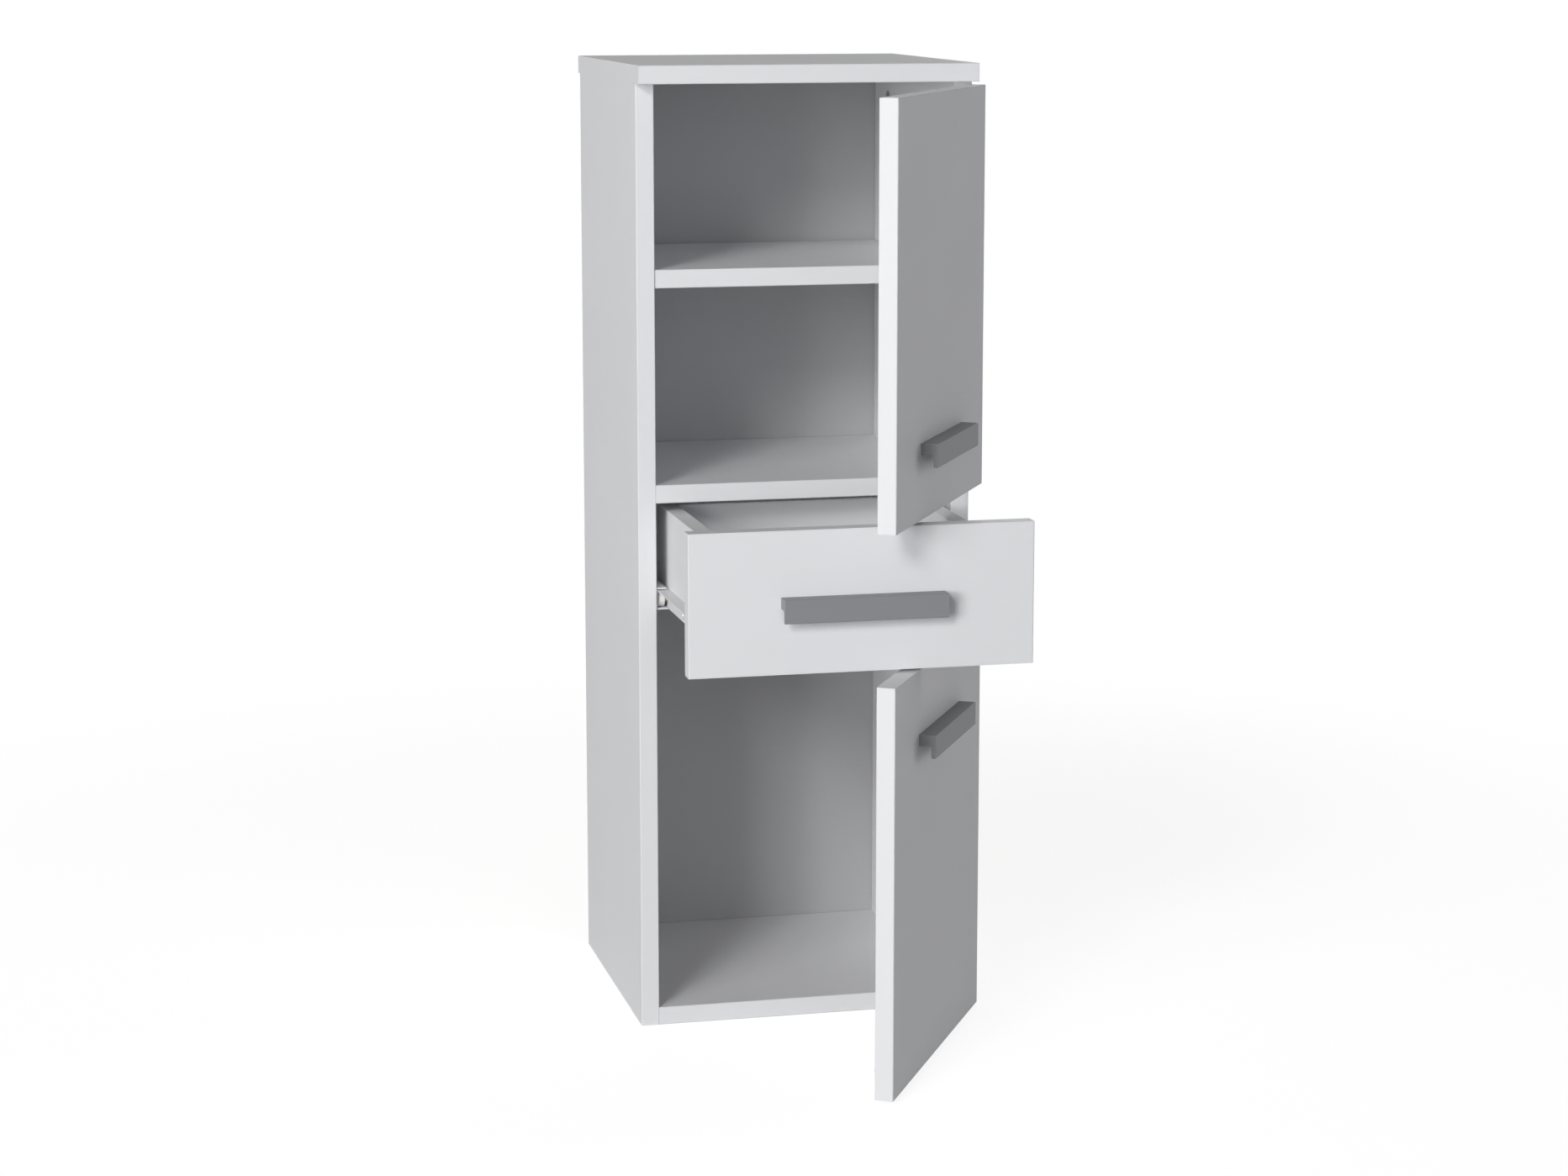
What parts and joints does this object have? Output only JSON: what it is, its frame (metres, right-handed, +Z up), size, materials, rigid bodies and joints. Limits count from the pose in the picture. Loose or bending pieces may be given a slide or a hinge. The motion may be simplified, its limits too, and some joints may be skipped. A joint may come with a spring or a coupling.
{
  "type": "freestanding bathroom cabinet",
  "caption": "Tall narrow white bathroom cabinet with an upper door, a drawer on roller runners and a lower door, each with a horizontal grey handle.",
  "frame": {"origin": "on the floor, under the middle of the carcass between its side panels", "axes": "+Z up, -Y out of the front, +X to the right of someone who faces the front"},
  "size_m": [0.3103, 0.5414, 0.854],
  "materials": {
    "white_board": "particle board under smooth white melamine film, satin, with matching edge tape",
    "handle": "satin grey anodised profile",
    "steel": "bright zinc plated",
    "rail_enamel": "white powder coated sheet steel",
    "nylon": "white nylon",
    "dowel_wood": "plain fluted hardwood dowel",
    "bumper": "clear soft bumper"
  },
  "bodies": {
    "carcass": {"left_side": "white_board", "right_side": "white_board", "bottom_board": "white_board", "middle_board": "white_board", "top_board": "white_board", "shelf": "white_board", "back_panel": "white_board", "shelf_pins": "steel", "dowels": "dowel_wood", "cam_bolts": "steel", "cam_locks": "steel", "back_nails": "steel", "hinge_plates": "steel", "hinge_plate_screws": "steel", "hinge_arms": "steel", "hinge_arm_screws": "steel", "cabinet_rail_left": "rail_enamel", "cabinet_rail_right": "rail_enamel", "cabinet_rail_screws": "steel", "front_roller_axles": "steel"},
    "upper_door_leaf": {"upper_door": "white_board", "upper_door_handle": "handle", "upper_handle_screws": "steel", "upper_door_bumpers": "bumper", "upper_hinge_cups": "steel", "upper_hinge_pins": "steel", "upper_cup_screws": "steel"},
    "lower_door_leaf": {"lower_door": "white_board", "lower_door_handle": "handle", "lower_handle_screws": "steel", "lower_door_bumpers": "bumper", "lower_hinge_cups": "steel", "lower_hinge_pins": "steel", "lower_cup_screws": "steel"},
    "drawer": {"drawer_front": "white_board", "drawer_left_side": "white_board", "drawer_right_side": "white_board", "drawer_back": "white_board", "drawer_bottom": "white_board", "drawer_handle": "handle", "drawer_handle_screws": "steel", "drawer_bumpers": "bumper", "drawer_dowels": "dowel_wood", "drawer_cam_bolts": "steel", "drawer_cam_locks": "steel", "drawer_box_screws": "steel", "drawer_rail_left": "rail_enamel", "drawer_rail_right": "rail_enamel", "drawer_rail_screws": "steel", "rear_roller_axles": "steel"},
    "left_front_wheel": {"front_roller_left": "nylon"},
    "right_front_wheel": {"front_roller_right": "nylon"},
    "left_rear_wheel": {"rear_roller_left": "nylon"},
    "right_rear_wheel": {"rear_roller_right": "nylon"}
  },
  "joints": [
    {"name": "upper_door_swing", "type": "hinge", "parent": "carcass", "child": "upper_door_leaf", "pos_m": [0.1467, -0.1399, 0.659], "axis": [0, 0, 1], "range_deg": [-60, 35]},
    {"name": "lower_door_swing", "type": "hinge", "parent": "carcass", "child": "lower_door_leaf", "pos_m": [0.1467, -0.1399, 0.18], "axis": [0, 0, 1], "range_deg": [-60, 35]},
    {"name": "drawer_slide", "type": "slide", "parent": "carcass", "child": "drawer", "axis": [0, -1, 0], "range_m": [-0.187, 0.022]},
    {"name": "left_front_roller_turn", "type": "hinge", "parent": "carcass", "child": "left_front_wheel", "pos_m": [-0.1286, -0.124, 0.3874], "axis": [1, 0, 0], "continuous": true},
    {"name": "left_rear_roller_turn", "type": "hinge", "parent": "drawer", "child": "left_rear_wheel", "pos_m": [-0.1269, -0.087, 0.3874], "axis": [1, 0, 0], "continuous": true},
    {"name": "right_front_roller_turn", "type": "hinge", "parent": "carcass", "child": "right_front_wheel", "pos_m": [0.1286, -0.124, 0.3874], "axis": [1, 0, 0], "continuous": true},
    {"name": "right_rear_roller_turn", "type": "hinge", "parent": "drawer", "child": "right_rear_wheel", "pos_m": [0.1269, -0.087, 0.3874], "axis": [1, 0, 0], "continuous": true}
  ],
  "couplings": [
    {"joint": "left_front_roller_turn", "follows": "drawer_slide", "rad_per_m": 136.99},
    {"joint": "left_rear_roller_turn", "follows": "drawer_slide", "rad_per_m": 136.99},
    {"joint": "right_front_roller_turn", "follows": "drawer_slide", "rad_per_m": 136.99},
    {"joint": "right_rear_roller_turn", "follows": "drawer_slide", "rad_per_m": 136.99}
  ]
}
